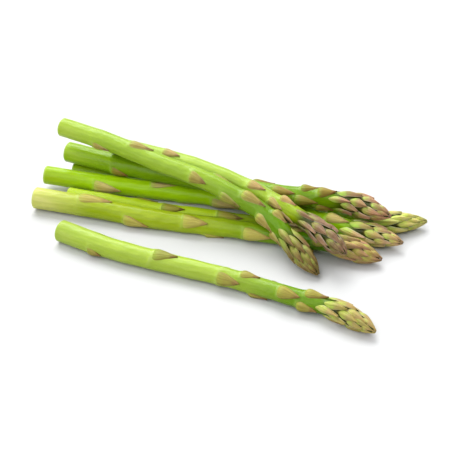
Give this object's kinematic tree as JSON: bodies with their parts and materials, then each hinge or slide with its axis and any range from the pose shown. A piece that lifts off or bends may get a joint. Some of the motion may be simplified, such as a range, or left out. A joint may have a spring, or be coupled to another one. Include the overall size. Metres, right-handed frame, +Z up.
{
  "type": "bundle of asparagus",
  "caption": "Heap of trimmed green asparagus spears lying on a surface, with scale leaves up the stalks and tight pointed buds.",
  "frame": {"origin": "centre of the heap's footprint, on the surface it lies on", "axes": "+X from the cut butts towards the buds, +Z up, -Y towards the loose spear in front"},
  "size_m": [0.243, 0.1684, 0.0458],
  "materials": {
    "spear_front": "waxy green skin, tan scale leaves",
    "spear_near": "waxy yellow-green skin, tan scale leaves",
    "spear_hidden": "waxy green skin, tan scale leaves",
    "spear_mid": "waxy green skin, tan scale leaves",
    "spear_far": "waxy green skin, green scale leaves",
    "spear_back": "waxy dark green skin, purple-brown scale leaves",
    "spear_over": "waxy light green skin, purple-brown scale leaves",
    "spear_top": "waxy green skin, olive scale leaves"
  },
  "bodies": {
    "root": {"spear_front": "spear_front", "spear_near": "spear_near", "spear_hidden": "spear_hidden", "spear_mid": "spear_mid", "spear_far": "spear_far", "spear_back": "spear_back", "spear_over": "spear_over", "spear_top": "spear_top"}
  },
  "joints": []
}
